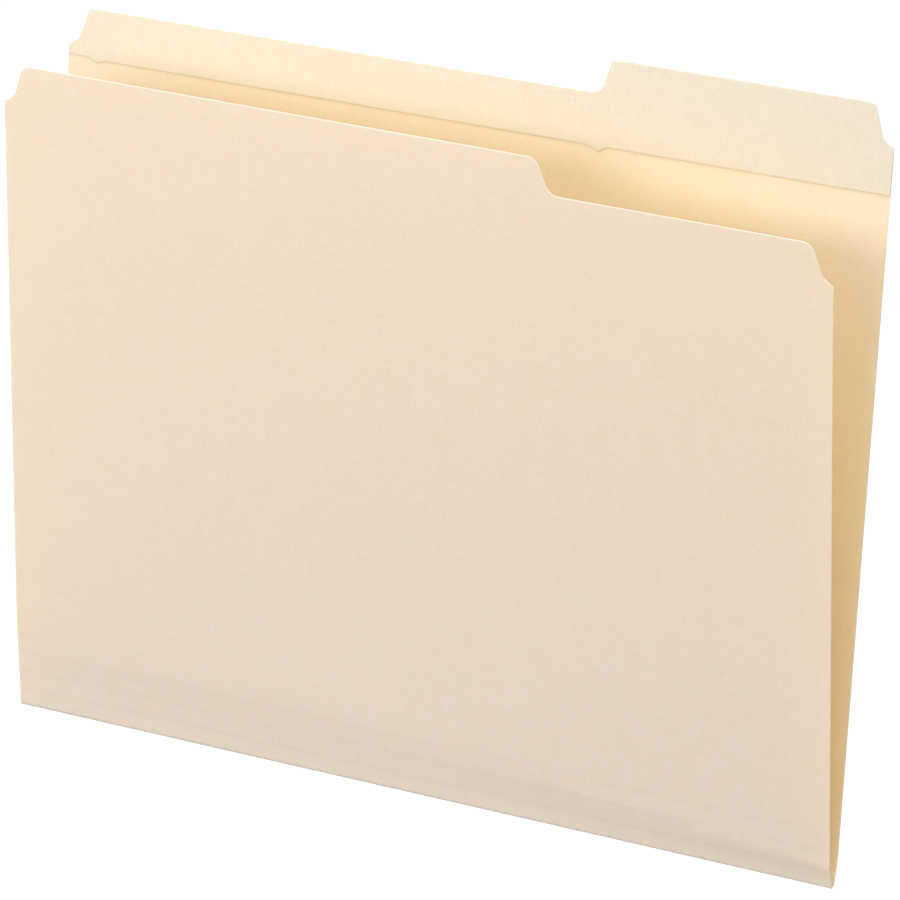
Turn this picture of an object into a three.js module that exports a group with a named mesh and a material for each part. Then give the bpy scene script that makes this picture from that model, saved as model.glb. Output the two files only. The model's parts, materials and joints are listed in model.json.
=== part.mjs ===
// A letter-size top tab file folder, standing a little open on its folded edge.
// The folder is cut from one sheet of card: each mesh here is one zone of that sheet between two
// creases, or the glue that holds the folded-over top of the back panel to itself.
// Units are millimetres. +X runs along the fold, +Z is up, and the front cover opens towards -Y.
// The origin is the middle of the folded edge, on the surface that the folder stands on.

import * as THREE from "three";

// The blank
const folderWidth = 298.45;
const tabHeight = 241.3; // top of the tab above the folded edge
const backHeight = 230.4; // back panel beside the tab
const frontHeight = 217.5; // tall part of the front panel
const frontCutHeight = 206.3; // front panel where it is cut down in front of the tab
const boardThickness = 0.28;

// The folded edge
const creaseInnerRadius = 0.95;
const creaseFacets = 9; // an odd number leaves one flat facet underneath
const openingAngle = THREE.MathUtils.degToRad(8.6);
const turningClearance = 0.1; // between a panel's end and the crease that turns inside it
const hingeGap = 0.45; // between a crease and the edge of the strip that swings from it

// The score lines that let the bottom of the front widen as the folder fills
const scorePitch = 6.35;
const scoreCount = 3;
const scoreWidth = 0.5;
const scoreThickness = 0.2;
const scoreGap = 0.3;

// The tab and the cut-down front edge
const tabPositions = 3; // equal tab positions along the top: this tab is in the last
const tabStepLean = 3; // how far the tab's side leans over its height
const tabStepTopRadius = 1;
const tabStepFootRadius = 4.5;
const frontStepLean = 4.4;
const frontStepRadius = 5;

// The notch at each top corner
const notchDepth = 12.4;
const notchTopInset = 7.2;
const notchFootInset = 3.9;
const notchFootRise = 2.5;
const backNotchTopRadius = 1;
const frontNotchTopRadius = 3.5;
const notchFootRadius = 4.5;

// The second ply behind the tab
const plyDepth = 16.2; // from the lower of the two top edges down to the ply's free edge
const glueThickness = 0.06;
const glueMargin = 1.5; // bare border between the glue and every cut edge
const toothDepth = 1.5;
const toothLeftReach = 5; // from the tooth's point to the straight edge on each side
const toothRightReach = 2.4;
const toothRadius = 1.2;
const leftToothInset = 11.6; // from the left edge to the tooth's point

const curveSteps = 6; // straight steps in each rounded corner

// Worked out from the sizes above
const halfWidth = folderWidth / 2;
const tabCut = folderWidth / tabPositions;
const creaseOuterRadius = creaseInnerRadius + boardThickness;
const creaseMiddleRadius = creaseInnerRadius + boardThickness / 2;
const facetAngle = Math.PI / creaseFacets;
const axisHeight = creaseOuterRadius * Math.cos(facetAngle / 2);
const tabStepX = halfWidth - tabCut;
const plyEdgeHeight = Math.min(backHeight, tabHeight) - plyDepth;
const turnoverRadius = boardThickness + glueThickness / 2;

const manila = new THREE.MeshStandardMaterial({ color: 0xf0dfc0, roughness: 0.85, metalness: 0 });
const innerManila = new THREE.MeshStandardMaterial({ color: 0xf3e4c4, roughness: 0.85, metalness: 0 });
const scoredManila = new THREE.MeshStandardMaterial({ color: 0xe2cfaa, roughness: 0.9, metalness: 0 });
const dryGlue = new THREE.MeshStandardMaterial({ color: 0xe9e2cc, roughness: 0.5, metalness: 0 });

// Local x, y, z of a flat shape become the folder's X, Z, -Y: a plate's face looks towards -Y.
const uprightPlate = new THREE.Matrix4().makeBasis(
  new THREE.Vector3(1, 0, 0),
  new THREE.Vector3(0, 0, 1),
  new THREE.Vector3(0, -1, 0),
);

// Local x, y, z of a cross-section become the folder's Y, Z, X: its length runs along the fold.
const alongFold = new THREE.Matrix4().makeBasis(
  new THREE.Vector3(0, 1, 0),
  new THREE.Vector3(0, 0, 1),
  new THREE.Vector3(1, 0, 0),
);

// A closed outline past the corners [x, y, radius], each corner rounded to about its radius.
function roundedOutline(corners) {
  const outline = new THREE.Shape();
  corners.forEach(([x, y, radius = 0], i) => {
    const corner = new THREE.Vector2(x, y);
    const before = new THREE.Vector2(...corners.at(i - 1));
    const after = new THREE.Vector2(...corners[(i + 1) % corners.length]);
    const toBefore = before.sub(corner);
    const toAfter = after.sub(corner);
    const turn = Math.PI - Math.abs(toBefore.angleTo(toAfter));
    const wanted = radius * Math.tan(turn / 2);
    const reach = Math.min(wanted, toBefore.length() / 2, toAfter.length() / 2);
    const start = corner.clone().addScaledVector(toBefore.normalize(), reach);
    const end = corner.clone().addScaledVector(toAfter.normalize(), reach);
    if (i === 0) outline.moveTo(start.x, start.y);
    else outline.lineTo(start.x, start.y);
    if (reach > 0) outline.quadraticCurveTo(corner.x, corner.y, end.x, end.y);
  });
  return outline;
}

// The notch at a top corner, from the side edge up to the top edge. side is 1 right, -1 left.
function cornerNotch(topHeight, side, topRadius) {
  const notch = [
    [side * halfWidth, topHeight - notchDepth],
    [side * (halfWidth - notchFootInset), topHeight - notchDepth + notchFootRise, notchFootRadius],
    [side * (halfWidth - notchTopInset), topHeight, topRadius],
  ];
  return side > 0 ? notch : notch.reverse();
}

// The tab's side, from its top down to the lower edge beside it.
function tabStep(topHeight) {
  return [
    [tabStepX + tabStepLean / 2, topHeight, tabStepTopRadius],
    [tabStepX - tabStepLean / 2, backHeight, tabStepFootRadius],
  ];
}

// The die-cut outline of the back panel above a given bottom edge.
function backOutline(bottomEdge, topHeight) {
  return [
    ...bottomEdge,
    ...cornerNotch(topHeight, 1, backNotchTopRadius),
    ...tabStep(topHeight),
    ...cornerNotch(backHeight, -1, backNotchTopRadius),
  ];
}

// The ply's free edge from left to right, with a small tooth under the left notch and the tab step.
function toothedEdge(height) {
  const teeth = [-halfWidth + leftToothInset, tabStepX - tabStepLean / 2];
  const points = teeth.flatMap((x) => [
    [x - toothLeftReach, height, toothRadius],
    [x, height - toothDepth, toothRadius],
    [x + toothRightReach, height, toothRadius],
  ]);
  return [[-halfWidth, height], ...points, [halfWidth, height]];
}

function frontOutline(bottom) {
  return [
    [-halfWidth, bottom],
    [halfWidth, bottom],
    ...cornerNotch(frontCutHeight, 1, frontNotchTopRadius),
    [tabStepX + frontStepLean / 2, frontCutHeight, frontStepRadius],
    [tabStepX - frontStepLean / 2, frontHeight, frontStepRadius],
    ...cornerNotch(frontHeight, -1, frontNotchTopRadius),
  ];
}

// A flat piece of card whose face towards +Y lies at outerY.
function plate(name, corners, thickness, outerY, material) {
  const geometry = new THREE.ExtrudeGeometry(roundedOutline(corners), {
    depth: thickness,
    bevelEnabled: false,
    curveSegments: curveSteps,
  });
  const mesh = new THREE.Mesh(geometry.applyMatrix4(uprightPlate), material);
  mesh.name = name;
  mesh.position.y = outerY;
  return mesh;
}

// A piece with one cross-section from left to right of the folder.
function bar(name, section, left, right, material) {
  const geometry = new THREE.ExtrudeGeometry(section, {
    depth: right - left,
    bevelEnabled: false,
    curveSegments: curveSteps,
  });
  const mesh = new THREE.Mesh(geometry.applyMatrix4(alongFold), material);
  mesh.name = name;
  mesh.position.x = left;
  return mesh;
}

// Height above the hinge axis at which a panel's end clears the crease as it turns.
function panelStart() {
  const swept = creaseOuterRadius + turningClearance;
  return Math.sqrt(swept ** 2 - creaseInnerRadius ** 2);
}

function backPanel() {
  const bottom = axisHeight + panelStart();
  const edge = [
    [-halfWidth, bottom],
    [halfWidth, bottom],
  ];
  const corners = backOutline(edge, tabHeight - turnoverRadius);
  return plate("back_panel", corners, boardThickness, creaseOuterRadius, manila);
}

function glueFilm() {
  const low = plyEdgeHeight + glueMargin;
  const top = backHeight - glueMargin;
  const side = halfWidth - notchTopInset - glueMargin;
  const corners = [
    [-side, low],
    [side, low],
    [side, tabHeight - turnoverRadius - glueMargin],
    [tabStepX + tabStepLean + glueMargin, tabHeight - turnoverRadius - glueMargin],
    [tabStepX + tabStepLean + glueMargin, top],
    [-side, top],
  ];
  return plate("glue_film", corners, glueThickness, creaseInnerRadius, dryGlue);
}

function reinforcingPly() {
  const corners = backOutline(toothedEdge(plyEdgeHeight), tabHeight - turnoverRadius);
  const outerY = creaseInnerRadius - glueThickness;
  return plate("reinforcing_ply", corners, boardThickness, outerY, innerManila);
}

// The sheet turned over along the top of the tab, where the two plies are still one piece.
function tabTurnover() {
  const middleY = creaseInnerRadius - glueThickness / 2;
  const baseHeight = tabHeight - turnoverRadius;
  const section = new THREE.Shape();
  section.moveTo(middleY - turnoverRadius, baseHeight);
  section.lineTo(middleY + turnoverRadius, baseHeight);
  section.absarc(middleY, baseHeight, turnoverRadius, 0, Math.PI, false);
  const left = tabStepX + tabStepLean / 2 + tabStepTopRadius;
  const right = halfWidth - notchTopInset - backNotchTopRadius;
  return bar("tab_turnover", section, left, right, manila);
}

// The bent spine: half a pipe of card under the hinge axis, open towards the papers.
function foldCrease() {
  const onCrease = (radius, i) => {
    const angle = -i * facetAngle;
    return new THREE.Vector2(radius * Math.cos(angle), axisHeight + radius * Math.sin(angle));
  };
  const steps = Array.from({ length: creaseFacets + 1 }, (_, i) => i);
  const inner = steps.map((i) => onCrease(creaseInnerRadius, i));
  const outer = steps.map((i) => onCrease(creaseOuterRadius, i)).reverse();
  const section = new THREE.Shape([...inner, ...outer]);
  return bar("fold_crease", section, -halfWidth, halfWidth, scoredManila);
}

// One strip of the front cover between two creases.
function expansionStrip(index) {
  const low = index * scorePitch + scoreWidth / 2 + scoreGap;
  const bottom = index === 0 ? axisHeight + hingeGap : low;
  const top = (index + 1) * scorePitch - scoreWidth / 2 - scoreGap;
  const corners = [
    [-halfWidth, bottom],
    [halfWidth, bottom],
    [halfWidth, top],
    [-halfWidth, top],
  ];
  return plate(`expansion_strip_${index + 1}`, corners, boardThickness, -creaseInnerRadius, manila);
}

// A score line: card pressed thin into a shallow ridge on the inside, so that it bends there.
function scoreCrease(index) {
  const height = (index + 1) * scorePitch;
  const outerY = -creaseMiddleRadius - scoreThickness / 2;
  const innerY = -creaseMiddleRadius + scoreThickness / 2;
  const section = new THREE.Shape();
  section.moveTo(outerY, height - scoreWidth / 2);
  section.quadraticCurveTo(innerY, height - scoreWidth / 4, innerY, height);
  section.quadraticCurveTo(innerY, height + scoreWidth / 4, outerY, height + scoreWidth / 2);
  return bar(`score_crease_${index + 1}`, section, -halfWidth, halfWidth, scoredManila);
}

function frontPanel() {
  const bottom = scoreCount * scorePitch + scoreWidth / 2 + scoreGap;
  return plate("front_panel", frontOutline(bottom), boardThickness, -creaseInnerRadius, manila);
}

// The front cover: it turns about the hinge axis inside the folded edge.
function frontCover() {
  const cover = new THREE.Group();
  cover.position.z = axisHeight;
  cover.rotation.x = openingAngle;
  const pieces = [frontPanel()];
  for (let index = 0; index < scoreCount; index += 1) {
    pieces.push(expansionStrip(index), scoreCrease(index));
  }
  pieces.forEach((piece) => {
    piece.position.z -= axisHeight;
    cover.add(piece);
  });
  return cover;
}

const folder = new THREE.Group();
folder.add(backPanel(), glueFilm(), reinforcingPly(), tabTurnover(), foldCrease(), frontCover());

export default folder;
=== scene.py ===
import json
import math

import bmesh
import bpy
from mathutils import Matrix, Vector
from mathutils.geometry import delaunay_2d_cdt
from mathutils.kdtree import KDTree


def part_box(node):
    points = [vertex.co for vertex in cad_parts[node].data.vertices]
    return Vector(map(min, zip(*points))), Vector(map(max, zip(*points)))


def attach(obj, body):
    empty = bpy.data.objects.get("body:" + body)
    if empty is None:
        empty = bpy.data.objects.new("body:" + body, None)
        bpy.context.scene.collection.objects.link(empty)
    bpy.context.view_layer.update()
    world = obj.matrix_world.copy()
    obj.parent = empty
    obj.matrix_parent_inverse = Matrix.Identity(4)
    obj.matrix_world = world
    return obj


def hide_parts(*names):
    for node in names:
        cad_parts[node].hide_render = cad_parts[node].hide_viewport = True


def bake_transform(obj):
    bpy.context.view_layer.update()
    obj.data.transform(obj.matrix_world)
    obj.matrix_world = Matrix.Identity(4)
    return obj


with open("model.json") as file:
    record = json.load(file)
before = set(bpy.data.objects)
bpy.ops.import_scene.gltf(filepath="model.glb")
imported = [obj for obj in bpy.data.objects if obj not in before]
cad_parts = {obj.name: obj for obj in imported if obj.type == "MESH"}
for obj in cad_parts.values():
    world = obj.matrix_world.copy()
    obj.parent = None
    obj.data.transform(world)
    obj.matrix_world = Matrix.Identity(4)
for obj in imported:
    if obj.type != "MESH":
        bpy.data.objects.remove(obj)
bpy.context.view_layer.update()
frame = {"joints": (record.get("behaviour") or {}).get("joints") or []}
print("frame loaded")

mm = 0.001  # sizes below are in millimetres, the scene is in metres

view = {
    "lens": 247.69,  # on a 36 mm sensor: a long lens, as in a product photo
    "place": (940.30, -1632.52, 525.68),
    "turn": (77.5634, -4.0070, 30.6987),  # degrees
    "clipStart": 50,
    "clipEnd": 50000,
}


def makeCamera():
    camera = bpy.data.objects.new("photoView", bpy.data.cameras.new("photoView"))
    camera.data.lens = view["lens"]
    camera.data.clip_start = view["clipStart"] * mm
    camera.data.clip_end = view["clipEnd"] * mm
    camera.location = Vector(view["place"]) * mm
    camera.rotation_euler = [math.radians(angle) for angle in view["turn"]]
    bpy.context.scene.collection.objects.link(camera)
    bpy.context.scene.camera = camera


makeCamera()
print("camera placed")

# The card and how it lies. Heights are along the sheet, from the folded edge up.
card = {
    "thickness": 0.28,
    "glue": 0.06,  # between the plies
    "bow": 1.12,  # how far the panels stand out from a sharp V, above the fold
    "bowReachLeft": 33,  # height of that curve at the left end and at the right end
    "bowReachRight": 7,
    "twist": 3.5,  # how far the corners are turned out of the plane, at the height below
    "twistHeight": 218,
    "foldMargin": 0.15,  # how far the crease runs up both panels, so that they open freely
}

# The die-cut edge: its arrises are crushed round and its middle stays square
cutEdge = {
    "insets": (0, 0.04, 0.1, 0.2, 0.34),
    "bareDepth": 0.22,  # how far in the paler cut fibre shows; on edges that face up it is partly a painted highlight
    "squareShare": 0.35,
    "arcStep": 0.35,  # spacing of the points on curves and on straight runs
    "runStep": 3,
    "cornerLimit": 0.5,  # keeps the insets at a sharp corner from running out in a spike
    "sharpAngle": 50,  # degrees: a sharper edge is shaded crisp
}

# How close the mesh is inside the sheets: closer in the curved part above the fold
spacing = {
    "step": 5.5,
    "lowStep": 2.5,
    "lowHeight": 42,
    "clear": 2.2,  # least distance from the points along the edge
    "creaseRows": 28,
    "turnoverRows": 12,
    "stripRows": 8,
}

# The slanted notches in all four top corners
notch = {
    "depth": 12.4,
    "topInset": 7.2,
    "footInset": 3.9,
    "footRise": 2.5,
    "footRadius": 4.5,
}

# The back panel's top: its side slants up to the tab at one third of the width from the right
tab = {
    "stepX": 49.74,
    "lean": 3,
    "topRadius": 1,
    "footRadius": 4.5,
    "notchRadius": 1,
    "shoulder": 230.4,  # top edge beside the tab
}

# The front cover is tall on the left, and cut down in front of the tab
front = {"tall": 217.5, "cut": 206.3, "lean": 4.4, "radius": 5, "notchRadius": 4.4}

# The ply's free edge dips in a small tooth, with a long flank on its left, near the left notch
# and under the tab's step. Beyond the left tooth it lies a little higher.
ply = {
    "edge": 214.2,
    "leftEnd": 214.8,
    "teeth": [
        {"x": -137.6, "leftReach": 4, "rightReach": 2, "depth": 1},
        {"x": 48.9, "leftReach": 4.2, "rightReach": 2.5, "depth": 1.75},
    ],
    "toothRadius": 0.35,
}

# The score lines along the bottom of the cover. The highest one is the one that folds.
score = {
    "pitch": 6.35,
    "count": 3,
    "halfWidth": 0.6,  # of the piece that holds the pressed line
    "bendHalfWidth": 0.9,  # the same at the line that folds
    "depth": 0.01,  # a light rule pressed from outside
    "ruleWidth": 0.28,
    "rows": 14,
}

# Sizes and places that the loaded solids and joints give
joints = {joint["name"]: joint for joint in frame["joints"]}
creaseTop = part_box("fold_crease")[1] / mm
halfWidth = creaseTop.x
axisHeight = creaseTop.z
creaseRadius = axisHeight - card["thickness"] / 2  # to the middle of the card
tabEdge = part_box("back_panel")[1].z / mm
widenPlace = joints["bottom_widen"]["pos_m"]
opening = math.atan2(axisHeight * mm - widenPlace[2], -widenPlace[1])
foldLength = creaseRadius * (math.pi - opening)
turnoverLow, turnoverHigh = (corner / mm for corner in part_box("tab_turnover"))
scoreHeights = [score["pitch"] * (i + 1) for i in range(score["count"])]


def smooth(share):
    share = max(0.0, min(1.0, share))
    return share * share * (3 - 2 * share)


# How far the middle of a panel stands off the hinge line, away from the papers. twistSide is
# 1 for the front and -1 for the back, which are twisted opposite ways.
def standOff(x, height, twistSide):
    rise = height - axisHeight
    along = x / halfWidth
    middleReach = (card["bowReachLeft"] + card["bowReachRight"]) / 2
    reach = middleReach + along * (card["bowReachRight"] - middleReach)
    turned = card["twist"] * along * rise / card["twistHeight"]
    return creaseRadius + card["bow"] * smooth(rise / reach) + twistSide * turned


# How deep the score lines are pressed in at a height
def pressedLine(height):
    nearest = min(abs(height - place) for place in scoreHeights)
    return score["depth"] * math.exp(-((nearest / score["ruleWidth"]) ** 2))


# Where a point of a flat sheet lies, by its x, its height along the sheet and its depth
def onBack(x, height, depth):
    return x, standOff(x, height, -1) + depth, height


def onFront(x, height, depth):
    out = standOff(x, height, 1) + depth - pressedLine(height)
    rise = height - axisHeight
    y = -out * math.cos(opening) - rise * math.sin(opening)
    z = axisHeight + rise * math.cos(opening) - out * math.sin(opening)
    return x, y, z


# Round the fold from the back to the front, and a little way up both panels
def onCrease(x, along, depth):
    if along < 0:
        return onBack(x, axisHeight - along, depth)
    if along > foldLength:
        return onFront(x, axisHeight + along - foldLength, depth)
    turn = along / creaseRadius
    radius = creaseRadius + depth
    return x, radius * math.cos(turn), axisHeight - radius * math.sin(turn)


def onTurnover(x, turn, depth):
    radius = (card["thickness"] + card["glue"]) / 2 + depth
    middle = standOff(x, tabEdge, -1) - (card["thickness"] + card["glue"]) / 2
    return x, middle + radius * math.cos(turn), tabEdge + radius * math.sin(turn)


# Corners [x, height, radius] and straight runs between them, as closely spaced points
def roundedPath(corners, closed):
    marks = []
    count = len(corners)
    for i, corner in enumerate(corners):
        here = Vector(corner[:2])
        radius = corner[2] if len(corner) > 2 else 0
        if radius == 0 or (not closed and i in (0, count - 1)):
            marks.append([here])
            continue
        before = Vector(corners[i - 1][:2]) - here
        after = Vector(corners[(i + 1) % count][:2]) - here
        turn = math.pi - before.angle(after)
        reach = min(radius * math.tan(turn / 2), before.length / 2, after.length / 2)
        radius = reach / math.tan(turn / 2)
        start = here + before.normalized() * reach
        end = here + after.normalized() * reach
        towards = (before.normalized() + after.normalized()).normalized()
        centre = here + towards * math.hypot(radius, reach)
        steps = max(2, math.ceil(radius * turn / cutEdge["arcStep"]))
        spoke = start - centre
        signed = turn if before.cross(after) < 0 else -turn
        arc = []
        for k in range(steps):
            angle = signed * k / steps
            cosine, sine = math.cos(angle), math.sin(angle)
            across = spoke.x * cosine - spoke.y * sine
            upward = spoke.x * sine + spoke.y * cosine
            arc.append(centre + Vector((across, upward)))
        marks.append([*arc, end])
    points = []
    for i, arc in enumerate(marks):
        points.extend(arc)
        if i == count - 1 and not closed:
            break
        gap = marks[(i + 1) % count][0] - arc[-1]
        pieces = max(1, math.ceil(gap.length / cutEdge["runStep"]))
        points.extend(arc[-1] + gap * k / pieces for k in range(1, pieces))
    return points


# How full the card is, and how much of the cut shows, a short way in from its edge
def edgeProfile(inset):
    deepest = cutEdge["insets"][-1]
    share = min(1.0, inset / deepest)
    square = cutEdge["squareShare"]
    fullness = square + (1 - square) * math.sqrt(1 - (1 - share) ** 2)
    return fullness, max(0.0, 1 - inset / cutEdge["bareDepth"])


# Directions from a clockwise path into its sheet, longer at corners so that insets stay even
def inwardNormals(path, closed):
    count = len(path)
    normals = []
    for i, here in enumerate(path):
        runs = []
        if closed or i > 0:
            runs.append((here - path[i - 1]).normalized())
        if closed or i < count - 1:
            runs.append((path[(i + 1) % count] - here).normalized())
        inward = [Vector((run.y, -run.x)) for run in runs]
        middle = sum(inward, Vector((0, 0))).normalized()
        normals.append(middle / max(cutEdge["cornerLimit"], middle.dot(inward[0])))
    return normals


# A flat sheet inside a path that runs clockwise. joined(point) is true where the card runs on.
def flatSheet(corners, closed, joined=lambda point: False):
    path = roundedPath(corners, closed)
    normals = inwardNormals(path, closed)
    count = len(path)
    points = []
    faces = []
    for inset in cutEdge["insets"]:
        fullness, cut = edgeProfile(inset)
        for here, normal in zip(path, normals):
            place = here + normal * inset
            if joined(here):
                points.append((place.x, place.y, 1.0, 0.0))
            else:
                # paler cut fibre only where the edge faces up, the more the more it faces up:
                # real cut fibre with a painted highlight
                points.append((place.x, place.y, fullness, cut * max(0.0, -normal.y)))
    for ring in range(len(cutEdge["insets"]) - 1):
        for i in range(count if closed else count - 1):
            a = ring * count + i
            b = ring * count + (i + 1) % count
            faces.append((a, b, b + count, a + count))
    rim = len(points) - count
    loop = [Vector(point[:2]) for point in points[rim:]]
    if not closed:
        gap = loop[0] - loop[-1]
        pieces = math.ceil(gap.length / cutEdge["runStep"])
        loop.extend(loop[-1] + gap * k / pieces for k in range(1, pieces))
    insideOnly = 1
    nearest = 1e-5  # closer points are merged
    placed, _, triangles, sources, _, _ = delaunay_2d_cdt(
        loop + gridInside(loop), [], [list(range(len(loop)))], insideOnly, nearest
    )
    index = {}
    for i, place in enumerate(placed):
        origin = sources[i][0] if sources[i] else None
        if origin is not None and origin < count:
            index[i] = rim + origin
        else:
            index[i] = len(points)
            points.append((place.x, place.y, 1.0, 0.0))
    faces.extend(tuple(index[i] for i in triangle) for triangle in triangles)
    return points, faces


# Points inside a sheet, in rows that stand half a step apart from each other
def gridInside(loop):
    near = KDTree(len(loop))
    for i, place in enumerate(loop):
        near.insert(place.to_3d(), i)
    near.balance()
    left = min(place.x for place in loop)
    right = max(place.x for place in loop)
    height = min(place.y for place in loop)
    top = max(place.y for place in loop)
    found = []
    row = 0
    while height < top:
        height += spacing["lowStep"] if height < spacing["lowHeight"] else spacing["step"]
        row += 1
        x = left + spacing["step"] * (0.5 if row % 2 else 1.0)
        while x < right:
            place = Vector((x, height))
            if near.find(place.to_3d())[2] > spacing["clear"]:
                found.append(place)
            x += spacing["step"]
    return found


def evenRows(low, high, count):
    return [low + (high - low) * k / count for k in range(count + 1)]


# A strip with the same rows all along the fold, cut square at both ends
def flatStrip(left, right, rows):
    insets = cutEdge["insets"]
    middleLeft = left + insets[-1]
    middleRight = right - insets[-1]
    pieces = math.ceil((middleRight - middleLeft) / spacing["step"])
    step = (middleRight - middleLeft) / pieces
    columns = [(left + inset, *edgeProfile(inset)) for inset in insets]
    columns += [(middleLeft + step * k, 1.0, 0.0) for k in range(1, pieces)]
    columns += [(right - inset, *edgeProfile(inset)) for inset in reversed(insets)]
    points = [(x, row, fullness, cut) for row in rows for x, fullness, cut in columns]
    width = len(columns)
    faces = []
    for r in range(len(rows) - 1):
        for c in range(width - 1):
            a = r * width + c
            faces.append((a, a + 1, a + 1 + width, a + width))
    return points, faces


# Gives a flat shape its thickness and lays it on its surface, base deep to its middle
def makeCard(name, flat, place, material, base=0.0, thickness=card["thickness"]):
    points, faces = flat
    mesh = bmesh.new()
    cutLayer = mesh.verts.layers.float.new("cutEdge")
    sides = []
    for side in (1, -1):
        made = []
        for u, v, fullness, cut in points:
            depth = base + side * fullness * thickness / 2
            vertex = mesh.verts.new(Vector(place(u, v, depth)) * mm)
            vertex[cutLayer] = cut
            made.append(vertex)
        sides.append(made)
    outer, inner = sides
    seen = {}
    for face in faces:
        mesh.faces.new([outer[i] for i in face])
        mesh.faces.new([inner[i] for i in reversed(face)])
        for a, b in zip(face, face[1:] + face[:1]):
            key = (min(a, b), max(a, b))
            seen[key] = seen.get(key, 0) + 1
    for (a, b), uses in seen.items():
        if uses == 1:
            mesh.faces.new([outer[a], outer[b], inner[b], inner[a]])
    loose = [vertex for vertex in mesh.verts if not vertex.link_faces]
    bmesh.ops.delete(mesh, geom=loose, context="VERTS")
    bmesh.ops.recalc_face_normals(mesh, faces=mesh.faces)
    for face in mesh.faces:
        face.smooth = True
    for edge in mesh.edges:
        edge.smooth = edge.calc_face_angle(0) < math.radians(cutEdge["sharpAngle"])
    data = bpy.data.meshes.new(name)
    mesh.to_mesh(data)
    mesh.free()
    data.materials.append(material)
    piece = bpy.data.objects.new(name, data)
    bpy.context.scene.collection.objects.link(piece)
    return piece


def srgb(hexColour):
    parts = [int(hexColour[i:i + 2], 16) / 255 for i in (1, 3, 5)]
    return [p / 12.92 if p <= 0.04045 else ((p + 0.055) / 1.055) ** 2.4 for p in parts] + [1]


def addNode(tree, kind, inputs=None, **settings):
    node = tree.nodes.new(kind)
    for name, value in settings.items():
        setattr(node, name, value)
    for socket, value in (inputs or {}).items():
        if isinstance(value, bpy.types.NodeSocket):
            tree.links.new(value, node.inputs[socket])
        else:
            node.inputs[socket].default_value = value
    return node


# The node tree of a new material or world, with nothing in it
def emptyTree(owner):
    owner.use_nodes = True
    owner.node_tree.nodes.clear()
    return owner.node_tree


# Manila card: sized kraft and hemp pulp, dyed in the vat and calendered. It looks matt and
# warm, with cloudy pulp, short fibres along and across the sheet, and paler fibre on the cut
# edges that face up: partly real cut fibre, partly a painted highlight. Each face lets a share
# of the light into the card, where it turns orange. That is why the inside of the folder glows.
manila = {
    "colour": "#fbf9ef",
    "cloud": "#f9f6e9",  # where the pulp is thicker
    "fleck": "#f4eedd",  # single darker fibres
    # the pale cut fibre, given to the edges that face up: partly a painted highlight
    "cut": "#fffdf6",
    "through": "#fdde60",  # colour of the light that has gone through the pulp
    "throughShare": 0.34,
    "cutShare": 0.04,  # the same at a cut edge, where the pulp is deep and sends light back
    "cloudSize": 6,
    "cloudRange": (0.3, 0.7),  # of the noise: below it the plain colour, above it the other
    "mottleSize": 1.1,
    "fibreLength": 4,
    "fibreWidth": 0.55,  # a real fibre is 0.03 wide: drawn coarser so that it shows
    "fleckRange": (1.3, 2.1),  # the same for the sum of both fibre noises and the mottle
    "noiseRoughness": 0.55,
    "roughness": 0.72,
    "ior": 1.5,
    "bump": 0.004,
}

# The same card where a rule has pressed it: denser, a little darker and smoother
creased = dict(manila, colour="#faf6ea", cloud="#f8f3e4", roughness=0.64, bump=0.002)

# The same card pasted down on the back panel: hardly any light goes through the two together
pasted = dict(manila, colour="#f3e9d4", cloud="#f1e6cf", fleck="#ecdfc6", throughShare=0.08)


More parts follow.
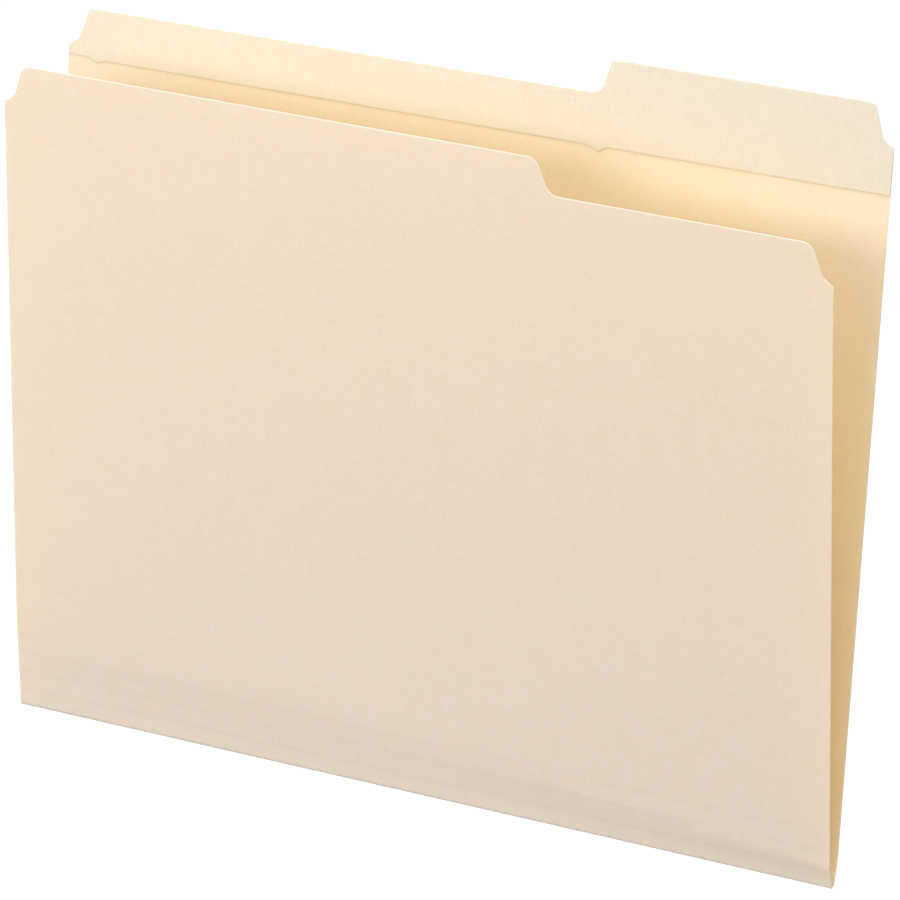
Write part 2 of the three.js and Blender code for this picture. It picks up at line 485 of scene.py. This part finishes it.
def cardMaterial(name, look):
    material = bpy.data.materials.new(name)
    tree = emptyTree(material)
    place = addNode(tree, "ShaderNodeTexCoord").outputs["Object"]

    slender = look["fibreWidth"] / look["fibreLength"]
    patterns = {
        "cloud": {"size": look["cloudSize"], "detail": 3, "stretch": (1, 1, 1)},
        "mottle": {"size": look["mottleSize"], "detail": 3, "stretch": (1, 1, 1)},
        "upright": {"size": look["fibreWidth"], "detail": 2, "stretch": (1, 1, slender)},
        "level": {"size": look["fibreWidth"], "detail": 2, "stretch": (slender, 1, 1)},
    }
    noise = {}
    for pattern, form in patterns.items():
        scaled = addNode(tree, "ShaderNodeMapping", {
            "Vector": place,
            "Scale": [share / (form["size"] * mm) for share in form["stretch"]],
        })
        noise[pattern] = addNode(tree, "ShaderNodeTexNoise", {
            "Vector": scaled.outputs["Vector"],
            "Scale": 1.0,
            "Detail": form["detail"],
            "Roughness": look["noiseRoughness"],
        }).outputs["Fac"]
    fibres = addNode(tree, "ShaderNodeMath", {
        0: noise["upright"], 1: noise["level"],
    }, operation="ADD").outputs[0]
    grain = addNode(tree, "ShaderNodeMath", {
        0: fibres, 1: noise["mottle"],
    }, operation="ADD").outputs[0]
    cloudy = addNode(tree, "ShaderNodeMapRange", {
        "Value": noise["cloud"],
        "From Min": look["cloudRange"][0],
        "From Max": look["cloudRange"][1],
    }).outputs["Result"]
    flecked = addNode(tree, "ShaderNodeMapRange", {
        "Value": grain,
        "From Min": look["fleckRange"][0],
        "From Max": look["fleckRange"][1],
    }).outputs["Result"]
    # the pale cut fibre, strongest on edges that face up: partly a painted highlight
    cutFibreAndTopHighlight = addNode(tree, "ShaderNodeAttribute", attribute_name="cutEdge").outputs["Fac"]

    # The plain colour, with clouds, flecks and the cut edge (partly a painted highlight) laid
    # over it in turn
    colour = srgb(look["colour"])
    for share, layer in ((cloudy, "cloud"), (flecked, "fleck"), (cutFibreAndTopHighlight, "cut")):
        colour = addNode(tree, "ShaderNodeMix", {
            0: share, 6: colour, 7: srgb(look[layer]),
        }, data_type="RGBA").outputs[2]

    relief = addNode(tree, "ShaderNodeBump", {
        "Height": grain, "Strength": 1.0, "Distance": look["bump"] * mm,
    })
    face = addNode(tree, "ShaderNodeBsdfPrincipled", {
        "Base Color": colour,
        "Roughness": look["roughness"],
        "IOR": look["ior"],
        "Normal": relief.outputs["Normal"],
    })
    pulp = addNode(tree, "ShaderNodeBsdfTranslucent", {"Color": srgb(look["through"])})
    through = addNode(tree, "ShaderNodeMapRange", {
        "Value": cutFibreAndTopHighlight, "To Min": look["throughShare"], "To Max": look["cutShare"],
    })
    both = addNode(tree, "ShaderNodeMixShader", {
        0: through.outputs["Result"], 1: face.outputs[0], 2: pulp.outputs[0],
    })
    addNode(tree, "ShaderNodeOutputMaterial", {"Surface": both.outputs[0]})
    return material


manilaCard = cardMaterial("calenderedManilaCard", manila)
creasedCard = cardMaterial("creasedManilaCard", creased)
pastedCard = cardMaterial("pastedManilaCard", pasted)

# Dry starch glue: brushed on thin, it dries clear and slightly glossy, with brush streaks
glue = {
    "colour": "#eae1c8",
    "streak": "#ddd2b4",
    "streakSize": 2.5,
    "streakStretch": 10,  # a streak's length over its width
    "roughness": 0.4,
    "ior": 1.47,
    "margin": 1.5,  # bare card between the glue and a cut edge
    "fill": 0.9,  # how much of the gap between the plies it fills
}


def glueMaterial():
    material = bpy.data.materials.new("driedStarchGlue")
    tree = emptyTree(material)
    stretch = (1 / glue["streakStretch"], 1, 1)
    scaled = addNode(tree, "ShaderNodeMapping", {
        "Vector": addNode(tree, "ShaderNodeTexCoord").outputs["Object"],
        "Scale": [share / (glue["streakSize"] * mm) for share in stretch],
    })
    streaks = addNode(tree, "ShaderNodeTexNoise", {
        "Vector": scaled.outputs["Vector"], "Scale": 1.0, "Detail": 3,
    })
    colour = addNode(tree, "ShaderNodeMix", {
        0: streaks.outputs["Fac"], 6: srgb(glue["colour"]), 7: srgb(glue["streak"]),
    }, data_type="RGBA")
    shader = addNode(tree, "ShaderNodeBsdfPrincipled", {
        "Base Color": colour.outputs[2], "Roughness": glue["roughness"], "IOR": glue["ior"],
    })
    addNode(tree, "ShaderNodeOutputMaterial", {"Surface": shader.outputs["BSDF"]})
    return material


driedGlue = glueMaterial()
print("materials made")


# Outlines, clockwise from the bottom left
def cornerNotch(top, side, radius):
    corners = [
        (side * halfWidth, top - notch["depth"]),
        (side * (halfWidth - notch["footInset"]), top - notch["depth"] + notch["footRise"],
         notch["footRadius"]),
        (side * (halfWidth - notch["topInset"]), top, radius),
    ]
    return corners if side < 0 else corners[::-1]


def backTop():
    return [
        *cornerNotch(tab["shoulder"], -1, tab["notchRadius"]),
        (tab["stepX"] - tab["lean"] / 2, tab["shoulder"], tab["footRadius"]),
        (tab["stepX"] + tab["lean"] / 2, tabEdge, tab["topRadius"]),
        *cornerNotch(tabEdge, 1, tab["notchRadius"]),
    ]


# The card runs on over the top of the tab between the turnover's two ends
def overTab(point):
    rounding = 0.01
    return point.y > tabEdge - rounding and turnoverLow.x < point.x < turnoverHigh.x


def makeBackPanel():
    bottom = axisHeight + card["foldMargin"]
    corners = [(-halfWidth, bottom), *backTop(), (halfWidth, bottom)]
    flat = flatSheet(corners, False, overTab)
    piece = makeCard("back_panel_card", flat, onBack, manilaCard)
    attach(piece, "back")
    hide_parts("back_panel")


def makePly():
    lower = [(halfWidth, ply["edge"])]
    for tooth in reversed(ply["teeth"]):
        beyond = ply["leftEnd"] if tooth is ply["teeth"][0] else ply["edge"]
        lower.append((tooth["x"] + tooth["rightReach"], ply["edge"], ply["toothRadius"]))
        lower.append((tooth["x"], ply["edge"] - tooth["depth"], ply["toothRadius"]))
        lower.append((tooth["x"] - tooth["leftReach"], beyond, ply["toothRadius"]))
    corners = [(-halfWidth, ply["leftEnd"]), *backTop(), *lower]
    flat = flatSheet(corners, True, overTab)
    depth = -card["thickness"] - card["glue"]
    piece = makeCard("reinforcing_ply_card", flat, onBack, pastedCard, depth)
    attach(piece, "back")
    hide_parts("reinforcing_ply")


def makeTurnover():
    rows = evenRows(0, math.pi, spacing["turnoverRows"])
    flat = flatStrip(turnoverLow.x, turnoverHigh.x, rows)
    piece = makeCard("tab_turnover_card", flat, onTurnover, pastedCard)
    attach(piece, "back")
    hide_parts("tab_turnover")


def makeGlue():
    low, high = (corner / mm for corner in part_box("glue_film"))
    stepX = tab["stepX"] + tab["lean"] + glue["margin"]
    shoulder = tab["shoulder"] - glue["margin"]
    corners = [
        (low.x, low.z), (low.x, shoulder), (stepX, shoulder),
        (stepX, high.z), (high.x, high.z), (high.x, low.z),
    ]
    flat = flatSheet(corners, True)
    depth = -(card["thickness"] + card["glue"]) / 2
    thickness = card["glue"] * glue["fill"]
    piece = makeCard("glue_film_sheet", flat, onBack, driedGlue, depth, thickness)
    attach(piece, "back")
    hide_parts("glue_film")


def makeFrontPanel():
    bottom = scoreHeights[-1] + score["bendHalfWidth"]
    corners = [
        (-halfWidth, bottom),
        *cornerNotch(front["tall"], -1, front["notchRadius"]),
        (tab["stepX"] - front["lean"] / 2, front["tall"], front["radius"]),
        (tab["stepX"] + front["lean"] / 2, front["cut"], front["radius"]),
        *cornerNotch(front["cut"], 1, front["notchRadius"]),
        (halfWidth, bottom),
    ]
    flat = flatSheet(corners, False)
    piece = makeCard("front_panel_card", flat, onFront, manilaCard)
    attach(piece, "front")
    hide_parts("front_panel")


def makeCrease():
    margin = card["foldMargin"]
    bend = evenRows(0, foldLength, spacing["creaseRows"])
    flat = flatStrip(-halfWidth, halfWidth, [-margin, *bend, foldLength + margin])
    piece = makeCard("fold_crease_card", flat, onCrease, creasedCard)
    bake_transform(piece)
    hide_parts("fold_crease")


# The strips between the score lines, and the pressed lines themselves
def makeGusset():
    low = axisHeight + card["foldMargin"]
    for i, height in enumerate(scoreHeights):
        last = i == len(scoreHeights) - 1
        half = score["bendHalfWidth"] if last else score["halfWidth"]
        rows = evenRows(low, height - half, spacing["stripRows"])
        flat = flatStrip(-halfWidth, halfWidth, rows)
        name = f"expansion_strip_{i + 1}_card"
        strip = makeCard(name, flat, onFront, manilaCard)
        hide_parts(f"expansion_strip_{i + 1}")
        if i == 0:
            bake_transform(strip)
        else:
            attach(strip, "gusset")
        rows = evenRows(height - half, height + half, score["rows"])
        flat = flatStrip(-halfWidth, halfWidth, rows)
        name = f"score_crease_{i + 1}_card"
        line = makeCard(name, flat, onFront, creasedCard)
        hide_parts(f"score_crease_{i + 1}")
        if last:
            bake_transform(line)
        else:
            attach(line, "gusset")
        low = height + half


makeBackPanel()
makePly()
makeTurnover()
makeGlue()
print("back panel made")
makeCrease()
makeGusset()
makeFrontPanel()
print("front cover made")

# A white room with a white sweep. A wide low softbox in front lights the cover but hardly
# reaches inside, one behind shines through the back, and a small one above picks out the edges.
# Sizes and places are in metres here, and power is in watts.
studio = {
    "floorSize": 12,
    "floorHeight": -0.26,  # leaves room for the cover, which hangs down when it is opened flat
    "floor": "#8e9ab0",
    "floorGlow": 0.82,  # what makes the bare floor white in the picture
    "ambient": "#f5f8fd",
    "ambientStrength": 0.98,
    "dimSide": (0.8, 0.0, -0.6),  # the room is dim low down on the right
    "dimShare": 0.1,
    "lamps": {
        "keySoftbox": {
            "place": (-0.34, -0.94, 0.28), "wide": 1.4, "high": 0.35, "power": 5.1,
            "colour": "#fff8ec",
        },
        "backSoftbox": {
            "place": (0.2, 0.9, 0.6), "wide": 0.6, "high": 0.4, "power": 2.5,
            "colour": "#fff8ec",
        },
        "edgeSoftbox": {
            "place": (0.3, -0.27, 1.0), "wide": 0.4, "high": 0.3, "power": 3.1,
            "colour": "#ffffff",
        },
    },
    "aim": (0.0, -0.01, 0.16),
}


# 1 for a ray that shows the background in the picture, in a mirror or through glass
def seenRay(tree):
    path = addNode(tree, "ShaderNodeLightPath")
    direct = addNode(tree, "ShaderNodeMath", {
        0: path.outputs["Is Camera Ray"], 1: path.outputs["Is Glossy Ray"],
    }, operation="MAXIMUM")
    return addNode(tree, "ShaderNodeMath", {
        0: direct.outputs[0], 1: path.outputs["Is Transmission Ray"],
    }, operation="MAXIMUM").outputs[0]


def makeWorld():
    world = bpy.data.worlds.new("studioAir")
    bpy.context.scene.world = world
    tree = emptyTree(world)
    white = addNode(tree, "ShaderNodeBackground", {"Color": (1, 1, 1, 1), "Strength": 1.0})
    direction = addNode(tree, "ShaderNodeTexCoord").outputs["Generated"]
    towardsDim = addNode(tree, "ShaderNodeVectorMath", {
        0: direction, 1: studio["dimSide"],
    }, operation="DOT_PRODUCT")
    strength = addNode(tree, "ShaderNodeMapRange", {
        "Value": towardsDim.outputs["Value"],
        "To Min": studio["ambientStrength"],
        "To Max": studio["ambientStrength"] * studio["dimShare"],
    })
    ambient = addNode(tree, "ShaderNodeBackground", {
        "Color": srgb(studio["ambient"]), "Strength": strength.outputs["Result"],
    })
    mixed = addNode(tree, "ShaderNodeMixShader", {
        0: seenRay(tree), 1: ambient.outputs[0], 2: white.outputs[0],
    })
    addNode(tree, "ShaderNodeOutputWorld", {"Surface": mixed.outputs[0]})


def makeFloor():
    half = studio["floorSize"] / 2
    data = bpy.data.meshes.new("studioFloor")
    corners = [(-half, -half, 0), (half, -half, 0), (half, half, 0), (-half, half, 0)]
    data.from_pydata(corners, [], [(0, 1, 2, 3)])
    floor = bpy.data.objects.new("studioFloor", data)
    floor.location.z = studio["floorHeight"]
    bpy.context.scene.collection.objects.link(floor)
    material = bpy.data.materials.new("mattWhiteSweep")
    tree = emptyTree(material)
    matt = addNode(tree, "ShaderNodeBsdfDiffuse", {"Color": srgb(studio["floor"])})
    glow = addNode(tree, "ShaderNodeEmission", {"Strength": studio["floorGlow"]})
    lit = addNode(tree, "ShaderNodeAddShader", {0: matt.outputs[0], 1: glow.outputs[0]})
    mixed = addNode(tree, "ShaderNodeMixShader", {
        0: seenRay(tree), 1: matt.outputs[0], 2: lit.outputs[0],
    })
    addNode(tree, "ShaderNodeOutputMaterial", {"Surface": mixed.outputs[0]})
    data.materials.append(material)


def makeLamps():
    for name, lamp in studio["lamps"].items():
        data = bpy.data.lights.new(name, "AREA")
        data.shape = "RECTANGLE"
        data.size = lamp["wide"]
        data.size_y = lamp["high"]
        data.energy = lamp["power"]
        data.color = srgb(lamp["colour"])[:3]
        light = bpy.data.objects.new(name, data)
        light.location = lamp["place"]
        towards = Vector(studio["aim"]) - light.location
        light.rotation_euler = towards.to_track_quat("-Z", "Y").to_euler()
        bpy.context.scene.collection.objects.link(light)


makeWorld()
makeFloor()
makeLamps()
bpy.context.scene.view_settings.view_transform = "Standard"
print("studio made")
